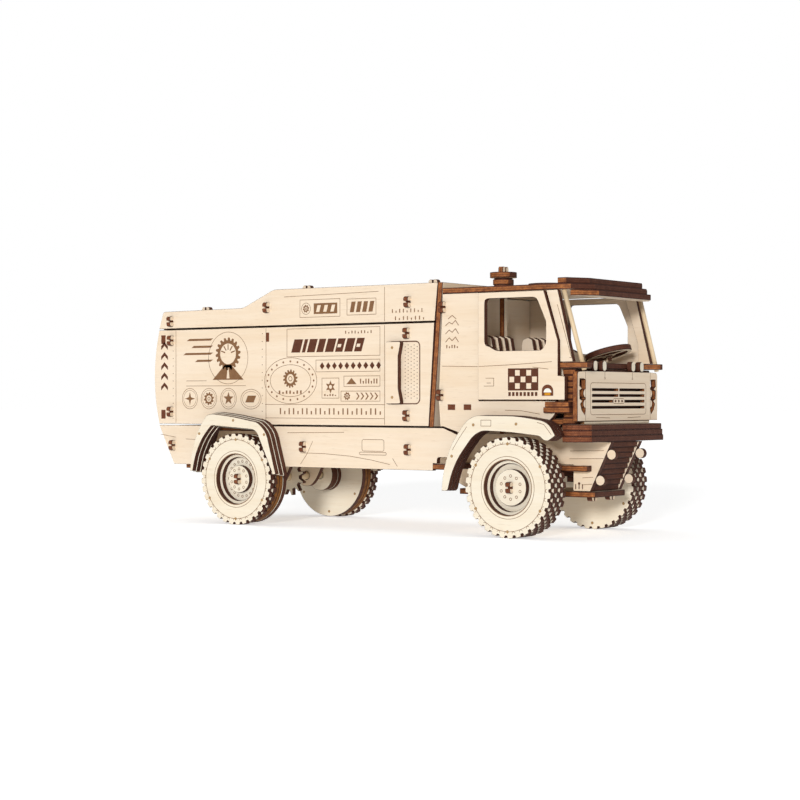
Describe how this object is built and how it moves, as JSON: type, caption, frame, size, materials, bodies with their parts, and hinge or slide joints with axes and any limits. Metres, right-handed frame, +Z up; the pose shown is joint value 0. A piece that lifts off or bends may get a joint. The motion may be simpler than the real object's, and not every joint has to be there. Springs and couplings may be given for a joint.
{
  "type": "wooden 3d jigsaw model",
  "caption": "Laser-cut plywood kit model of a rally truck with cargo body, cab, laminated wheels, knob-steered front axle, opening doors and hinged grille.",
  "frame": {"origin": "on the floor under the middle of the truck", "axes": "+X forward, +Y to the truck's left, +Z up"},
  "size_m": [0.376, 0.132, 0.1824],
  "materials": {
    "birch_ply": "bare sanded birch plywood",
    "burnt_ply": "laser-burnt plywood edges",
    "dowel": "bare turned beech"
  },
  "bodies": {
    "root": {"a_pillar_left": "birch_ply", "a_pillar_right": "birch_ply", "air_scoop_left": "birch_ply", "air_scoop_right": "birch_ply", "axle_lower_plate": "birch_ply", "axle_upper_plate": "birch_ply", "bulkhead_front": "birch_ply", "bumper": "burnt_ply", "cab_floor": "birch_ply", "cab_rear_wall": "birch_ply", "cab_roof": "burnt_ply", "cab_side_left": "birch_ply", "cab_side_right": "birch_ply", "cargo_floor": "birch_ply", "cargo_front_wall": "burnt_ply", "cargo_roof_front": "birch_ply", "cargo_roof_ramp": "birch_ply", "cargo_roof_rear": "birch_ply", "chassis_rail_left": "birch_ply", "chassis_rail_right": "birch_ply", "crossmember_front": "birch_ply", "dashboard": "birch_ply", "front_fender_left": "birch_ply", "front_fender_right": "birch_ply", "nose_stack": "burnt_ply", "rear_fender_left": "birch_ply", "rear_fender_right": "birch_ply", "seat_pair": "birch_ply", "side_panel_lower_front_left": "birch_ply", "side_panel_lower_front_right": "birch_ply", "side_panel_lower_rear_left": "birch_ply", "side_panel_lower_rear_right": "birch_ply", "side_panel_middle_left": "birch_ply", "side_panel_middle_right": "birch_ply", "side_panel_upper_left": "birch_ply", "side_panel_upper_right": "birch_ply", "tail_panel_lower": "birch_ply", "tail_panel_middle": "birch_ply", "tail_panel_upper": "birch_ply", "underrun_bar": "burnt_ply", "valance_stack": "burnt_ply", "visor_lower": "burnt_ply", "visor_upper": "burnt_ply", "windscreen_dowel_left": "dowel", "windscreen_dowel_right": "dowel", "windscreen_sill": "birch_ply"},
    "rear_axle": {"rear_axle": "burnt_ply", "rear_wheel_right": "birch_ply", "rear_wheel_left": "birch_ply"},
    "pinion_shaft": {"pinion_shaft": "burnt_ply"},
    "steering_post": {"steering_post": "birch_ply"},
    "steering_slider": {"steering_slider": "birch_ply"},
    "steering_knuckle_right": {"steering_knuckle_right": "birch_ply"},
    "steering_knuckle_left": {"steering_knuckle_left": "birch_ply"},
    "front_wheel_right": {"front_wheel_right": "birch_ply"},
    "front_wheel_left": {"front_wheel_left": "birch_ply"},
    "steering_wheel": {"steering_wheel": "birch_ply"},
    "door_right": {"door_right": "birch_ply"},
    "door_left": {"door_left": "birch_ply"},
    "grille": {"grille": "birch_ply"}
  },
  "joints": [
    {"name": "rear_axle_spin", "type": "hinge", "parent": "root", "child": "rear_axle", "pos_m": [-0.09867, 0, 0.033], "axis": [0, 1, 0], "continuous": true},
    {"name": "pinion_spin", "type": "hinge", "parent": "root", "child": "pinion_shaft", "pos_m": [-0.09262, 0, 0.0528], "axis": [0, 1, 0], "continuous": true},
    {"name": "steering", "type": "hinge", "parent": "root", "child": "steering_post", "pos_m": [0.08962, 0, 0.1], "axis": [0, 0, 1], "range_deg": [-20, 20]},
    {"name": "tie_bar_slide", "type": "slide", "parent": "root", "child": "steering_slider", "axis": [0, 1, 0], "range_m": [-0.0045, 0.0045]},
    {"name": "kingpin_right", "type": "hinge", "parent": "root", "child": "steering_knuckle_right", "pos_m": [0.13403, -0.038, 0.036], "axis": [0, 0, 1], "range_deg": [-21, 21]},
    {"name": "kingpin_left", "type": "hinge", "parent": "root", "child": "steering_knuckle_left", "pos_m": [0.13403, 0.038, 0.036], "axis": [0, 0, 1], "range_deg": [-21, 21]},
    {"name": "front_wheel_right_spin", "type": "hinge", "parent": "steering_knuckle_right", "child": "front_wheel_right", "pos_m": [0.13403, -0.055, 0.033], "axis": [0, 1, 0], "continuous": true},
    {"name": "front_wheel_left_spin", "type": "hinge", "parent": "steering_knuckle_left", "child": "front_wheel_left", "pos_m": [0.13403, 0.055, 0.033], "axis": [0, 1, 0], "continuous": true},
    {"name": "steering_wheel_turn", "type": "hinge", "parent": "root", "child": "steering_wheel", "pos_m": [0.15902, 0.024, 0.122], "axis": [-0.2756, 0, 0.9613], "continuous": true},
    {"name": "door_right_hinge", "type": "hinge", "parent": "root", "child": "door_right", "pos_m": [0.17263, -0.0544, 0.125], "axis": [0, 0, 1], "range_deg": [0, 70]},
    {"name": "door_left_hinge", "type": "hinge", "parent": "root", "child": "door_left", "pos_m": [0.17263, 0.0544, 0.125], "axis": [0, 0, -1], "range_deg": [0, 70]},
    {"name": "grille_hinge", "type": "hinge", "parent": "root", "child": "grille", "pos_m": [0.18052, 0, 0.109], "axis": [0, -1, 0], "range_deg": [0, 85]}
  ],
  "couplings": [
    {"joint": "pinion_spin", "follows": "rear_axle_spin", "ratio": -1.5},
    {"joint": "tie_bar_slide", "follows": "steering", "m_per_rad": 0.012},
    {"joint": "kingpin_right", "follows": "steering", "ratio": -1},
    {"joint": "kingpin_left", "follows": "steering", "ratio": -1}
  ]
}
